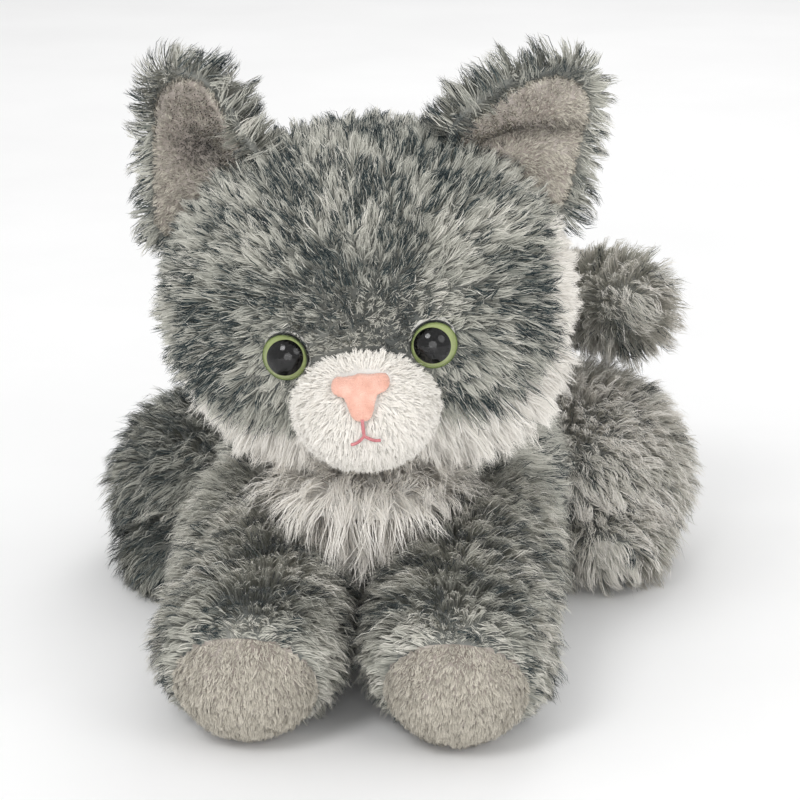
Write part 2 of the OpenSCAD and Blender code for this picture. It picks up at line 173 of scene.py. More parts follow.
# The pile's shades from darkest to white. A strand takes one for its root, one for its middle and one
# for its tip.
SHADES = [(28, 38, 42), (46, 57, 60), (72, 82, 82), (104, 110, 106), (138, 141, 134), (170, 170, 161),
          (196, 195, 185), (222, 219, 210), (247, 243, 236)]
PILE = [plain(f"pile_{i}", c, Roughness=0.78, Sheen_Weight=0.12, Specular_IOR_Level=0.25)
        for i, c in enumerate(SHADES)]
GREIGE = [(96, 92, 87), (134, 129, 121), (166, 160, 149), (190, 184, 171), (212, 206, 193)]
SHORT = [plain(f"short_pile_{i}", c, Roughness=0.85, Sheen_Weight=0.2, Specular_IOR_Level=0.2)
         for i, c in enumerate(GREIGE)]
TABBY_BACKING = mottled("tabby_backing", [(96, 99, 97), (126, 128, 124), (152, 152, 146)], 70, 0.8, 900,
                        Sheen_Weight=0.3)
WHITE_BACKING = mottled("white_backing", [(205, 202, 196), (226, 223, 218), (238, 236, 232)], 60, 0.8, 900,
                        Sheen_Weight=0.3)
BEIGE_BACKING = mottled("beige_backing", [(150, 140, 132), (176, 166, 158), (196, 187, 180)], 120, 0.9, 1400,
                        Sheen_Weight=0.4)
NOSE = mottled("nose_velvet", [(226, 168, 148), (238, 184, 165), (248, 202, 184)], 260, 0.9, 2600,
               roughness=0.8, Sheen_Weight=0.5)
PINK_THREAD = mottled("pink_thread", [(206, 122, 128), (226, 150, 152)], 900, 1.0, 3000, roughness=0.7)
INNER = {
    "stuffing": mottled("fibre_filling", [(222, 219, 212), (246, 244, 240)], 160, 1.0, 700, roughness=0.95),
    "pouch": woven("pouch_cloth", [(214, 206, 192), (230, 224, 212)], 0.0007),
    "pellets": mottled("pellet_plastic", [(228, 228, 224), (240, 240, 237)], 300, 0.2, 900, roughness=0.4),
    "stitches": mottled("seam_thread", [(92, 96, 98), (128, 132, 132)], 1500, 1.0, 3500, roughness=0.7),
    "label": woven("satin_label", [(232, 231, 228), (246, 245, 243)], 0.0005, roughness=0.45),
    "shank": mottled("shank_plastic", [(22, 22, 24), (36, 36, 38)], 400, 0.2, 1500, roughness=0.4),
    "washer": mottled("washer_plastic", [(216, 216, 212), (232, 232, 230)], 300, 0.2, 1200, roughness=0.45),
}
for name, node in nodes.items():
    kind = next((k for k in INNER if k in name), None)
    if kind:
        node.data.materials.clear()
        node.data.materials.append(INNER[kind])


# ---------- skins: the sewn cloth under the pile ----------

def joined(names):
    """The triangles of several CAD nodes as one mesh."""
    mesh = bpy.data.meshes.new("joined")
    verts, faces, at = [], [], 0
    for n in names:
        d = nodes[n].data
        co = np.zeros(len(d.vertices) * 3, np.float32)
        d.vertices.foreach_get("co", co)
        verts.append(co.reshape(-1, 3))
        faces += [[i + at for i in p.vertices] for p in d.polygons]
        at += len(d.vertices)
    mesh.from_pydata(np.concatenate(verts).tolist(), [], faces)
    return mesh


def keep_outer(mesh):
    """Leaves only the outermost closed surface of the mesh."""
    bm = bmesh.new()
    bm.from_mesh(mesh)
    bm.verts.ensure_lookup_table()
    seen, islands = set(), []
    for v in bm.verts:
        if v in seen:
            continue
        stack, island = [v], []
        seen.add(v)
        while stack:
            a = stack.pop()
            island.append(a)
            for e in a.link_edges:
                b = e.other_vert(a)
                if b not in seen:
                    seen.add(b)
                    stack.append(b)
        islands.append(island)
    islands.sort(key=len)
    bmesh.ops.delete(bm, geom=[v for island in islands[:-1] for v in island], context="VERTS")
    bm.to_mesh(mesh)
    bm.free()


def applied(obj):
    """The object's mesh with its modifiers applied."""
    dg = bpy.context.evaluated_depsgraph_get()
    made = bpy.data.meshes.new_from_object(obj.evaluated_get(dg))
    obj.modifiers.clear()
    obj.data = made
    return obj


def skin(name, body, stands_for, inside, voxel, smooth, materials):
    """One closed stuffed skin, remeshed from the CAD cover and what fills it."""
    obj = bpy.data.objects.new(name, joined([*stands_for, *inside]))
    bpy.context.scene.collection.objects.link(obj)
    r = obj.modifiers.new("remesh", "REMESH")
    r.mode, r.voxel_size = "VOXEL", voxel * MM
    applied(obj)
    keep_outer(obj.data)
    s = obj.modifiers.new("smooth", "SMOOTH")
    s.factor, s.iterations = 0.5, smooth
    applied(obj)
    obj.data.materials.clear()
    for m in materials:
        obj.data.materials.append(m)
    obj.data.polygons.foreach_set("use_smooth", [True] * len(obj.data.polygons))
    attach(obj, body)
    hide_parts(*stands_for)
    return obj


def coordinates(obj):
    co = np.zeros(len(obj.data.vertices) * 3, np.float32)
    obj.data.vertices.foreach_get("co", co)
    return co.reshape(-1, 3).astype(float) / MM


def set_coordinates(obj, co):
    obj.data.vertices.foreach_set("co", (co * MM).astype(np.float32).ravel())
    obj.data.update()


def face_middles(obj):
    co = np.zeros(len(obj.data.polygons) * 3, np.float32)
    obj.data.polygons.foreach_get("center", co)
    return co.reshape(-1, 3).astype(float) / MM


def paint(obj, index):
    """Gives each face the material at that index."""
    obj.data.polygons.foreach_set("material_index", index.astype(np.int32))
    obj.data.update()


def puffed(obj, seam_distance, swell=1.6, frames=12):
    """Fills a sewn skin by a short cloth simulation: it swells between its seams, which stay down."""
    rest = coordinates(obj)
    nor = np.zeros(len(rest) * 3, np.float32)
    obj.data.vertices.foreach_get("normal", nor)
    start = rest - nor.reshape(-1, 3) * swell * 0.7
    set_coordinates(obj, start)
    held = np.flatnonzero(seam_distance(rest) < 1.5)
    seam = obj.vertex_groups.new(name="seam")
    seam.add(held.tolist(), 1.0, "REPLACE")
    cloth = obj.modifiers.new("cloth", "CLOTH")
    cloth.settings.quality = 4
    cloth.settings.use_pressure = True
    cloth.settings.uniform_pressure_force = 4
    cloth.settings.vertex_group_mass = "seam"
    cloth.settings.effector_weights.gravity = 0
    cloth.collision_settings.use_collision = False
    cloth.point_cache.frame_start, cloth.point_cache.frame_end = 1, frames
    scene = bpy.context.scene
    for frame_number in range(1, frames + 1):
        scene.frame_set(frame_number)
    made = np.zeros(len(rest) * 3, np.float32)
    filled = obj.evaluated_get(bpy.context.evaluated_depsgraph_get())
    filled.data.vertices.foreach_get("co", made)
    move = made.reshape(-1, 3).astype(float) / MM - start
    far = np.linalg.norm(move, axis=1, keepdims=True)
    move *= np.minimum(1, 2 * swell / np.maximum(far, 1e-9))
    obj.modifiers.remove(cloth)
    obj.vertex_groups.clear()
    scene.frame_set(1)
    new = start + move
    new[:, 2] = np.where(rest[:, 2] < 1, rest[:, 2], np.maximum(new[:, 2], 0.2))
    set_coordinates(obj, new)


# ---------- pile ----------

def noise3(p, scale, seed):
    """Smooth random values from -1 to 1 at points, with features of about that size in millimetres."""
    rng = np.random.default_rng(seed)
    out = np.zeros(len(p))
    for k in range(6):
        d = unit(rng.normal(size=3)) * (2 * math.pi / scale) * rng.uniform(0.6, 1.5)
        out += np.sin(p @ d + rng.uniform(0, 6.28))
    return out / 6 * 1.7


def sampled(obj, per_mm2, rng):
    """Seeded random points on a skin, with its smooth normals, in millimetres."""
    m = obj.data
    m.calc_loop_triangles()
    co = coordinates(obj)
    nor = np.zeros(len(m.vertices) * 3, np.float32)
    m.vertices.foreach_get("normal", nor)
    nor = nor.reshape(-1, 3).astype(float)
    tri = np.zeros(len(m.loop_triangles) * 3, np.int32)
    m.loop_triangles.foreach_get("vertices", tri)
    tri = tri.reshape(-1, 3)
    a, b, c = co[tri[:, 0]], co[tri[:, 1]], co[tri[:, 2]]
    area = np.linalg.norm(np.cross(b - a, c - a), axis=1) / 2
    count = int(area.sum() * per_mm2)
    pick = rng.choice(len(tri), count, p=area / area.sum())
    u, v = rng.random(count), rng.random(count)
    over = u + v > 1
    u[over], v[over] = 1 - u[over], 1 - v[over]
    w = np.stack([1 - u - v, u, v], 1)
    p = (co[tri[pick]] * w[:, :, None]).sum(1)
    n = unit((nor[tri[pick]] * w[:, :, None]).sum(1))
    return p, n


def nearest(points, centres):
    tree = kdtree.KDTree(len(centres))
    for i, c in enumerate(centres):
        tree.insert(c, i)
    tree.balance()
    return np.array([tree.find(p)[1] for p in points])


def grow(name, body, obj, per_mm2, comb, length, shade, keep, seed, lift=1.12, width=0.225, clump=4.5,
         pull=0.6, sag=0.1, wild=0.35, lean=0.55, palette=PILE, most=36000, spread=0.1):
    """Pile on a skin, as tapered strands in tufts. comb, length, shade and keep are functions of
    (points, normals). lift and lean say how far a strand stands up and leans over, pull how far a tuft
    closes at its tips, and most how many strands one mesh holds."""
    rng = np.random.default_rng(seed)
    p, n = sampled(obj, per_mm2 * (1), rng)
    ok = keep(p, n)
    p, n = p[ok], n[ok]
    count = len(p)
    centres = rng.choice(count, max(1, int(count / (clump * per_mm2))), replace=False)
    mine = nearest(p, p[centres])
    k = len(centres)
    tuft_len = rng.uniform(0.72, 1.18, k)
    tuft_turn = rng.normal(size=(k, 3)) * wild
    tuft_lift = lift * rng.uniform(0.8, 1.2, k)

    def tangent(v, normal):
        return unit(v - (v * normal).sum(1, keepdims=True) * normal)

    c_comb = unit(tangent(comb(p[centres], n[centres]), n[centres]) + tuft_turn)
    c_comb = tangent(c_comb, n[centres])
    own = tangent(comb(p, n) + rng.normal(size=(count, 3)) * 0.15, n)
    direction = tangent(own * 0.45 + c_comb[mine] * 0.55, n)
    base = length(p, n)
    size = base * tuft_len[mine] * rng.uniform(0.75, 1.1, count)
    up = tuft_lift[mine] * rng.uniform(0.9, 1.1, count)
    droop = np.array([0, 0, -sag])
    c_size = length(p[centres], n[centres]) * tuft_len

    def strand_at(t, root, normal, way, size, up):
        """The point at that share of a strand that rises along its normal and leans along its way."""
        rise = up * math.sin(t * 1.35) / 1.35
        run = lean * (t * t * 0.55 + t * 0.25) + (1 - up) * t * 0.3
        return root + size[:, None] * (normal * rise[:, None] + way * run[:, None] + droop * t * t)

    path = np.zeros((count, 4, 3))
    for i, t in enumerate((0, 0.34, 0.68, 1.0)):
        own_point = strand_at(t, p, n, direction, size, up)
        lead = strand_at(t, p[centres], n[centres], c_comb, c_size, tuft_lift)[mine]
        lead += (p - p[centres][mine]) * (1 - t) * 0.6
        pulled = pull * t ** 1.3
        path[:, i] = own_point * (1 - pulled) + lead * pulled
        path[:, i] += rng.normal(size=(count, 3)) * (t * spread * size)[:, None] * 0.5
    path[:, :, 2] = np.maximum(path[:, :, 2], 0.3)
    way = unit(path[:, 3] - path[:, 0])
    side = unit(np.cross(way, n) + rng.normal(size=(count, 3)) * 0.25)
    side *= np.sign((np.cross(way, side) * n).sum(1, keepdims=True) + 1e-9)
    w = width * rng.uniform(0.75, 1.25, count)
    verts = np.zeros((count, 7, 3))
    for i, share in enumerate((0.5, 0.5, 0.36)):
        verts[:, 2 * i] = path[:, i] + side * (w * share)[:, None]
        verts[:, 2 * i + 1] = path[:, i] - side * (w * share)[:, None]
    verts[:, 6] = path[:, 3]
    facing = unit(np.cross(way, side))
    shown = unit(n * 0.55 + facing * 0.6 + rng.normal(size=(count, 3)) * 0.12)
    tufts = rng.normal(size=k)
    tones = shade(p, n, rng, tufts[mine])  # root, middle and tip, from 0 dark to 1 white
    index = np.clip(np.rint(tones * (len(palette) - 1)), 0, len(palette) - 1).astype(np.int32)
    made = []
    chunks = max(1, math.ceil(count / most))
    for c in range(chunks):
        part = slice(c * count // chunks, (c + 1) * count // chunks)
        made.append(strands(name if chunks == 1 else f"{name}_{c + 1}", body, verts[part], shown[part],
                            index[part], palette))
    return made


def strands(name, body, verts, shown, index, palette):
    """One mesh of strands with seven corners each: two quads and a pointed triangle."""
    count = len(verts)
    m = bpy.data.meshes.new(name)
    m.vertices.add(count * 7)
    m.vertices.foreach_set("co", (verts * MM).astype(np.float32).ravel())
    corners = np.array([0, 1, 3, 2, 2, 3, 5, 4, 4, 5, 6])
    loops = (corners[None] + 7 * np.arange(count)[:, None]).ravel()
    m.loops.add(len(loops))
    m.loops.foreach_set("vertex_index", loops.astype(np.int32))
    m.polygons.add(count * 3)
    starts = (np.array([0, 4, 8])[None] + 11 * np.arange(count)[:, None]).ravel()
    m.polygons.foreach_set("loop_start", starts.astype(np.int32))
    for p in palette:
        m.materials.append(p)
    m.polygons.foreach_set("material_index", index.ravel())
    m.polygons.foreach_set("use_smooth", np.ones(count * 3, bool))
    m.update(calc_edges=True)
    m.normals_split_custom_set_from_vertices(np.repeat(shown, 7, axis=0))
    obj = bpy.data.objects.new(name, m)
    bpy.context.scene.collection.objects.link(obj)
    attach(obj, body)
    return obj


# ---------- where the pile is dark, and which way it lies ----------

def marble(p, seed):
    """Darkness from 0 to 1 in cloudy patches, with smaller ones in them."""
    return 0.42 + 0.30 * noise3(p, 15, seed) + 0.20 * noise3(p, 6.5, seed + 50)


def tabby(dark, light=0.72, white=None, seed=5):
    """Pale grey pile whose tips are dark where dark is high, and white pile where white says so."""
    def shade(p, n, rng, tuft):
        count = len(p)
        d = dark(p, n) - 0.09 + 0.22 * noise3(p, 3.8, seed) + 0.15 * tuft
        chance = np.clip((d - 0.5) / 0.25 + 0.5, 0.02, 0.90)
        is_dark = rng.random(count) < chance
        pale = light + 0.08 * noise3(p, 19, seed + 1) + 0.03 * tuft + rng.normal(size=count) * 0.045
        root = np.where(is_dark, pale - 0.14, pale - 0.06)
        half = rng.random(count) < 0.6
        middle = np.where(is_dark, np.where(half, 0.05 + rng.random(count) * 0.2, pale - 0.14), pale)
        tip = np.where(is_dark, 0.02 + rng.random(count) ** 1.5 * 0.25, pale + 0.04)
        tones = np.stack([root, middle, tip], 1)
        if white is not None:
            w = white(p, n, rng)
            pure = np.stack([0.99 + rng.normal(size=count) * 0.03] * 3, 1)
            tones = np.where(w[:, None], pure, tones)
        return tones
    return shade


def short_tones(low, high):
    def shade(p, n, rng, tuft):
        t = rng.uniform(low, high, len(p)) + 0.1 * tuft
        return np.stack([t - 0.1, t, t + 0.08], 1)
    return shade


def head_white(p, n=None, rng=None):
    """Under the seam of the white chin and cheeks, and along the right cheek's edge."""
    h = to_head(p)
    edge = 0 if rng is None else rng.normal(size=len(p)) * 1.0
    under = h[:, 2] + edge < -CHIN_DROP + math.tan(CHIN_TILT) * h[:, 1]
    beside = (h[:, 0] + edge > 45) & (h[:, 2] < 15)
    return (under | beside) & (h[:, 1] < 16)


# The face's larger marks in the head's frame: place across and up, width, height, and how much darker.
FACE_MARKS = [(-3, 13, 9, 14, 0.38), (-36, -8, 9, 16, 0.34), (42, 2, 8, 11, 0.28), (28, -20, 7, 8, 0.30),
              (-16, 30, 10, 6, 0.20), (16, 31, 9, 6, 0.22), (21, 10, 6, 7, -0.42), (-30, 18, 8, 6, -0.16),
              (-20, 12, 12, 9, 0.14), (2, 30, 24, 8, 0.08), (-19, 4, 6, 5, -0.15), (0, -3, 9, 5, -0.40)]


def head_dark(p, n=None):
    h = to_head(p)
    marks = sum(amount * np.exp(-((h[:, 0] - x) / wide) ** 2 - ((h[:, 2] - z) / high) ** 2)
                for x, z, wide, high, amount in FACE_MARKS)
    return 0.10 + marble(h, 11) + marks * (h[:, 1] < 8)


def leg_dark(side, seed):
    """Slanting dark bands across the leg, and a pale shoulder."""
    band_pitch, band_start = 17, {LEFT: 2.4, RIGHT: 0.8}[side]

    def dark(p, n):
        along = -(p[:, 1] - SHOULDER[side][1])
        across = (p[:, 0] - SHOULDER[side][0]) * side
        place = along - 0.8 * across + 3 * noise3(p, 20, seed)
        bands = np.sin(place * 2 * math.pi / band_pitch + band_start)
        pale = 0.30 * np.clip((across - 4) / 10, 0, 1) * np.clip(1 - (along - 4) / 14, 0, 1)
        clouds = 0.13 * noise3(p, 14, seed) + 0.08 * noise3(p, 6, seed + 50)
        return 0.37 + clouds + 0.40 * np.tanh(1.8 * bands) - pale
    return dark


def pad_edge(p):
    """How far a point is behind the seam round the short pile of the paw."""
    return (p[:, 1] - PAD_FRONT) * math.cos(PAD_TILT) + p[:, 2] * math.sin(PAD_TILT)


def shell(p, centre, size):
    """1 on the ellipsoid with that centre and half sizes, less inside it and more outside."""
    return (((p - centre) / size) ** 2).sum(1)


def eye_distance(p):
    return np.min([np.linalg.norm(p - eye_frame(s)[0], axis=1) for s in (LEFT, RIGHT)], axis=0)


def muzzle_distance(p):
    """0 at the muzzle's outline, in millimetres beyond it."""
    h = (to_head(p) - MUZZLE_AT) / MUZZLE_SIZE
    return (np.linalg.norm(h, axis=1) - 1) * 16


# ---------- head ----------

head = skin("head_skin", "head", ["crown_panel", "left_face_panel", "right_face_panel", "chin_panel"],
            ["head_stuffing"], 2.4, 8, [TABBY_BACKING, WHITE_BACKING])
paint(head, head_white(face_middles(head)))


def head_seams(p):
    h = to_head(p)
    crown = np.where(head_white(p), 99, np.abs(np.abs(h[:, 0]) - 15))
    chin = np.abs((h[:, 2] + CHIN_DROP) * math.cos(CHIN_TILT) - h[:, 1] * math.sin(CHIN_TILT))
    return np.minimum(crown, chin)


puffed(head, head_seams)


def head_comb(p, n):
    h = to_head(p)
    v = unit(h - np.array([0, -58, -14.0]))
    v[:, 2] -= np.clip(-h[:, 2] / 30, 0, 1) * 0.7
    v[:, 2] -= np.clip((np.abs(h[:, 0]) - 30) / 20, 0, 1) * 0.35
    away = np.zeros_like(p)
    for side in (LEFT, RIGHT):
        d = p - eye_frame(side)[0]
        r = np.linalg.norm(d, axis=1)
        away += d / np.maximum(r, 1)[:, None] * (np.exp(-(r / 9) ** 2) * 1.6)[:, None]
    return v @ HEAD_TURN.T + away


def head_length(p, n):
    h = to_head(p)
    face = np.clip((eye_distance(p) - 5) / 17, 0.0, 1) * np.clip(muzzle_distance(p) / 13 + 0.3, 0.3, 1)
    under = np.clip((-14 - h[:, 2]) / 8, 0, 1)
    longest = np.where(head_white(p), 7.0 + under * (3.5 + 3.5 * np.clip((h[:, 0] - 10) / 20, 0, 1)), 8.6)
    return 2.6 + (longest - 2.6) * face + 1.2 * np.clip(-h[:, 1] / -40, 0, 1)


def head_keep(p, n):
    return ((eye_distance(p) > 6.7) & (muzzle_distance(p) > 0.2)
            & (np.linalg.norm(p - NECK, axis=1) > 17.5))


grow("head_fur", "head", head, 4.6, head_comb, head_length, tabby(head_dark, white=head_white), head_keep, 1)


# ---------- muzzle, nose and mouth ----------

muzzle = skin("muzzle_skin", "head", ["muzzle_panel"], ["muzzle_stuffing"], 1.2, 6, [WHITE_BACKING])
puffed(muzzle, lambda p: np.where(to_head(p)[:, 1] > -33, 0, 9), swell=0.8)


def nose_distance(p):
    """Under 1 in front of the nose: a wide top over a narrower lower part."""
    h = to_head(p)
    x, z = h[:, 0] - NOSE_SIDE, h[:, 2]
    return np.minimum(np.hypot(x / 7.8, (z + 10.5) / 2.9), np.hypot(x / 4.6, (z + 13.6) / 5.6))


MOUTH_LINES = [((NOSE_SIDE, -19.0), (NOSE_SIDE, -23.5)), ((NOSE_SIDE, -22.8), (-2.6, -24.8)),
               ((NOSE_SIDE, -22.8), (4.5, -24.3))]


def mouth_distance(p):
    """Millimetres from the nearest thread of the mouth."""
    h = to_head(p)
    at = h[:, [0, 2]]
    best = np.full(len(p), 99.0)
    for a, b in np.array(MOUTH_LINES):
        share = np.clip((at - a) @ (b - a) / ((b - a) @ (b - a)), 0, 1)
        best = np.minimum(best, np.linalg.norm(at - a - share[:, None] * (b - a), axis=1))
    return best


grow("muzzle_pile", "head", muzzle, 7.0,
     lambda p, n: unit(to_head(p) - np.array([0, -60, -8.0])) @ HEAD_TURN.T + np.array([0, 0, -0.5]),
     lambda p, n: np.full(len(p), 3.0),
     lambda p, n, rng, t: np.stack([0.99 + rng.normal(size=len(p)) * 0.03] * 3, 1),
     lambda p, n: (to_head(p)[:, 1] < -30) & (nose_distance(p) > 0.9) & (mouth_distance(p) > 0.75),
     2, lift=0.8, width=0.24, clump=1.6, pull=0.45, spread=0.2)

nose = skin("nose", "head", ["nose_patch"], [], 0.5, 5, [NOSE])


def thread(name, points, radius, material):
    curve = bpy.data.curves.new(name, "CURVE")
    curve.dimensions = "3D"
    curve.bevel_depth, curve.bevel_resolution = radius * MM, 3
    curve.use_fill_caps = True
    line = curve.splines.new("BEZIER")
    line.bezier_points.add(len(points) - 1)
    for b, p in zip(line.bezier_points, points):
        b.co = Vector(p) * MM
        b.handle_left_type = b.handle_right_type = "AUTO"
    curve.materials.append(material)
    obj = bpy.data.objects.new(name, curve)
    bpy.context.scene.collection.objects.link(obj)
    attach(obj, "head")
    return obj


def on_muzzle(x, z, out=1.5):
    """The point on the muzzle's front at that place in the head's frame."""
    s = MUZZLE_SIZE + out
    y = MUZZLE_AT[1] - s[1] * math.sqrt(max(0.01, 1 - (x / s[0]) ** 2 - ((z - MUZZLE_AT[2]) / s[2]) ** 2))
    return from_head([x, y, z])


mouth = thread("mouth_line", [on_muzzle(NOSE_SIDE, z) for z in (-18.2, -19.8, -21.4, -22.9)], 0.42,
               PINK_THREAD)
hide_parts("mouth_stitches")
MOUTH_ENDS = {"mouth_left": ((NOSE_SIDE, -22.6), (-0.2, -23.6), (-1.4, -24.4), (-2.7, -24.8)),
              "mouth_right": ((NOSE_SIDE, -22.6), (1.9, -23.4), (3.2, -24.1), (4.6, -24.3))}
for name, points in MOUTH_ENDS.items():
    thread(name, [on_muzzle(x, z) for x, z in points], 0.4, PINK_THREAD)

# ---------- eyes ----------

CLEAR = plain("eye_clear", (26, 28, 26), Roughness=0.03, Alpha=0.03)
PUPIL = mottled("eye_pupil", [(3, 3, 4), (7, 7, 8)], 500, 0.01, 900, roughness=0.5, Specular_IOR_Level=0.0,
                Coat_Weight=1.0, Coat_Roughness=0.02)


def iris_paint():
    """Green paint that darkens to the iris's edge, by the disc's own radius in millimetres."""
    m = plain("eye_iris", (172, 192, 122), Roughness=0.4, Specular_IOR_Level=0.1, Coat_Weight=1.0,
              Coat_Roughness=0.02)
    nt = m.node_tree
    at = nt.nodes.new("ShaderNodeTexCoord")
    far = nt.nodes.new("ShaderNodeVectorMath")
    far.operation = "LENGTH"
    ramp = nt.nodes.new("ShaderNodeMapRange")
    ramp.inputs["From Min"].default_value, ramp.inputs["From Max"].default_value = 0.0040, 0.0060
    colour = nt.nodes.new("ShaderNodeValToRGB")
    e = colour.color_ramp.elements
    e[0].position, e[0].color = 0.0, srgb((92, 112, 60))
    e[1].position, e[1].color = 1.0, srgb((70, 88, 46))
    e.new(0.25).color = srgb((152, 162, 108))
    e.new(0.75).color = srgb((178, 190, 132))
    nt.links.new(at.outputs["Object"], far.inputs[0])
    nt.links.new(far.outputs["Value"], ramp.inputs["Value"])
    nt.links.new(ramp.outputs["Result"], colour.inputs["Fac"])
    nt.links.new(colour.outputs["Color"], nt.nodes["Principled BSDF"].inputs["Base Color"])
    return m


IRIS = iris_paint()


def turned_piece(name, profile, side, off, material, stands_for, segments=64, ball=None):
    """A round piece of an eye, spun from (radius, height) points about an axis off the eye's own by off.
    With a ball, given as its radius and its top, the piece's front is laid on that ball."""
    centre, axes = eye_frame(side)
    bm = bmesh.new()
    rings = []
    for r, z in profile:
        if r < 1e-6:
            rings.append([bm.verts.new((0, 0, z * MM))])
        else:
            rings.append([bm.verts.new((r * MM * math.cos(a), r * MM * math.sin(a), z * MM))
                          for a in np.linspace(0, 2 * math.pi, segments, endpoint=False)])
    for a, b in zip(rings, rings[1:]):
        for i in range(segments):
            j = (i + 1) % segments
            ring = [a[i % len(a)], a[j % len(a)], b[j % len(b)], b[i % len(b)]]
            bm.faces.new(list(dict.fromkeys(ring)))
    if ball:
        for v in bm.verts:
            if v.co.z > 1.3 * MM:
                out = math.hypot(v.co.x / MM + off[0], v.co.y / MM + off[1])
                v.co.z = (math.sqrt(max(0, ball[0] ** 2 - out ** 2)) + ball[1] - ball[0]) * MM
    bmesh.ops.recalc_face_normals(bm, faces=bm.faces)
    mesh = bpy.data.meshes.new(name)
    bm.to_mesh(mesh)
    bm.free()
    mesh.polygons.foreach_set("use_smooth", [True] * len(mesh.polygons))
    mesh.set_sharp_from_angle(angle=math.radians(35))
    mesh.materials.append(material)
    obj = bpy.data.objects.new(name, mesh)
    bpy.context.scene.collection.objects.link(obj)
    place = Matrix.Identity(4)
    for c in range(3):
        for r in range(3):
            place[r][c] = axes[c][r]
    place.translation = Vector((centre - axes[2] * 1.2 + axes[0] * off[0] + axes[1] * off[1]) * MM)
    obj.matrix_world = place
    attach(obj, "head")
    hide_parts(stands_for)
    return obj


EYE_TOP, EYE_EDGE = 5, 1
BALL = ((EYE_D / 2) ** 2 + (EYE_TOP - EYE_EDGE) ** 2) / (2 * (EYE_TOP - EYE_EDGE))
PUPIL_R, PUPIL_IN, PUPIL_UP, PUPIL_TOP = 4.55, 0.8, 0.45, 4.6


def dome(top, widest, steps=15):
    """(radius, height) points over the eye's ball, from its widest circle up to that height."""
    ball = BALL - (EYE_TOP - top)
    low = math.acos(min(1, widest / ball))
    angles = np.linspace(low, math.pi / 2, steps)
    line = [(ball * math.cos(a), ball * math.sin(a) + top - ball) for a in angles]
    line[-1] = (0.0, top)
    return line


for side, word in SIDES:
    outer, inner = dome(EYE_TOP, 5.97), dome(4.82, 5.75)
    turned_piece(f"{word}_eye_dome", [*inner[::-1], *outer], side, (0, 0), CLEAR, f"{word}_eye_lens")
    turned_piece(f"{word}_eye_ring", [(0, 0.2), (5.9, 0.2), (5.93, 0.9), *dome(4.5, 5.6)], side, (0, 0),
                 IRIS, f"{word}_eye_iris")
    front = [(PUPIL_R * math.cos(a), 2.5 + a) for a in np.linspace(0, math.pi / 2, 12)]
    front[-1] = (0.0, 4.5)
    turned_piece(f"{word}_eye_black", [(0, 1.1), (4.5, 1.1), *front], side, (-side * PUPIL_IN, PUPIL_UP),
                 PUPIL, f"{word}_eye_pupil", ball=(BALL - (EYE_TOP - PUPIL_TOP), PUPIL_TOP))

# ---------- ears ----------

for side, word in SIDES:
    axes, root = ear_axes(side)
    back = skin(f"{word}_ear_skin", f"{word}_ear", [f"{word}_ear_back"], [], 1.1, 5, [TABBY_BACKING])
    lining = skin(f"{word}_ear_inner", f"{word}_ear", [f"{word}_ear_lining"], [], 0.8, 4, [BEIGE_BACKING])

    def hollow(q, side=side):
        """How deep the inside is pressed in: a pocket in the left ear, a crease along the right one."""
        u, h = q[:, 0] / EAR_HALF_WIDTH, q[:, 2] / EAR_HEIGHT
        if side == LEFT:
            return 5.0 * np.exp(-((u - 0.22) / 0.30) ** 2 - ((h - 0.38) / 0.17) ** 2)
        off = (h - 0.40) - 0.55 * (u + 0.1)
        return 3.2 * np.exp(-(off / 0.10) ** 2) * np.exp(-((u + 0.05) / 0.55) ** 4)

    def cupped(p, side=side, axes=axes, root=root):
        """The ear's sides come forward round its hollow, most of all beside the crown, and its top is
        rounded out."""
        q = (p - root) @ axes.T
        u = q[:, 0] / EAR_HALF_WIDTH
        height = np.clip(q[:, 2] / EAR_HEIGHT, 0, 1)
        forward = 7.0 * u * u * (1 - 0.5 * height) + 2.0 * np.clip(-side * u, 0, 1) * (1 - height)
        round_top = np.exp(-((height - 0.72) / 0.34) ** 2)
        q[:, 1] += 1.5 - forward + hollow(q)
        q[:, 0] *= 1 + np.where(side * q[:, 0] < 0, 0.34, 0.12) * round_top
        return q @ axes + root

    for piece in (back, lining):
        set_coordinates(piece, cupped(coordinates(piece)))

    under = coordinates(lining)

    def ear_local(p, axes=axes, root=root):
        return (p - root) @ axes.T

    def ear_comb(p, n, axes=axes):
        q = ear_local(p)
        return np.stack([q[:, 0] * 0.09, np.zeros(len(p)), np.full(len(p), 0.45)], 1) @ axes

    def ear_length(p, n, side=side):
        return 7.0 + 3.0 * np.clip(-side * ear_local(p)[:, 0] / 12, 0, 1)

    def off_lining(p, n, under=coordinates(lining)):
        return np.linalg.norm(p - under[nearest(p, under)], axis=1) > 1.0

    def in_front(p, n, axes=axes):
        return (n @ axes.T)[:, 1] < 0.3

    # The lining's pile is painted darker the deeper the hollow is pressed in. This is painted shade in the
    # pocket of the left ear and along the crease of the right one.
    def lining_tones_with_painted_hollow_shade(p, n, rng, tuft, brighter={LEFT: 0, RIGHT: 0.15}[side]):
        return short_tones(0.40, 0.90)(p, n, rng, tuft) + brighter - 0.13 * hollow(ear_local(p))[:, None]

    grow(f"{word}_ear_fur", f"{word}_ear", back, 4.4, ear_comb, ear_length,
         tabby(lambda p, n: marble(p, 31) + 0.10), off_lining, 30 + side)
    grow(f"{word}_ear_pile", f"{word}_ear", lining, 6.0, ear_comb, lambda p, n: np.full(len(p), 2.2),
         lining_tones_with_painted_hollow_shade, in_front, 32 + side, lift=0.7, width=0.26, clump=1.5,
         pull=0.4, palette=SHORT, spread=0.2)

# ---------- torso and chest ----------

